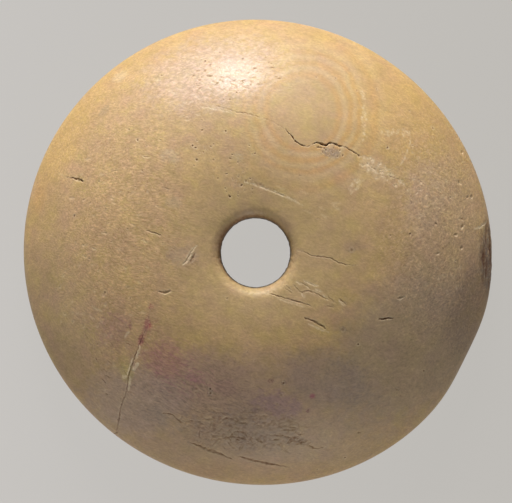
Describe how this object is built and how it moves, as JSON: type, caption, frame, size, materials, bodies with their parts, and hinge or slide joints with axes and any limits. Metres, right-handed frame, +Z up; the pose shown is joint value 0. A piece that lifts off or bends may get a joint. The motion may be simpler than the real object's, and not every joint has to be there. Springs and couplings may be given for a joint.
{
  "type": "spindle whorl",
  "caption": "Low domed disc with a flat base and a central hole; pushed onto a hand spindle's shaft, its weight keeps the spindle turning. Polished, worn and cracked by drying.",
  "frame": {"origin": "middle of the outline, on the flat base that the whorl rests on", "axes": "+Z up along the spindle, from the base to the dome; +X to the right and +Y to the top of the picture, which looks straight down on the dome"},
  "size_m": [0.0442, 0.0439, 0.012],
  "materials": {
    "polished_bone": "satin"
  },
  "bodies": {
    "root": {"whorl": "polished_bone"}
  },
  "joints": []
}
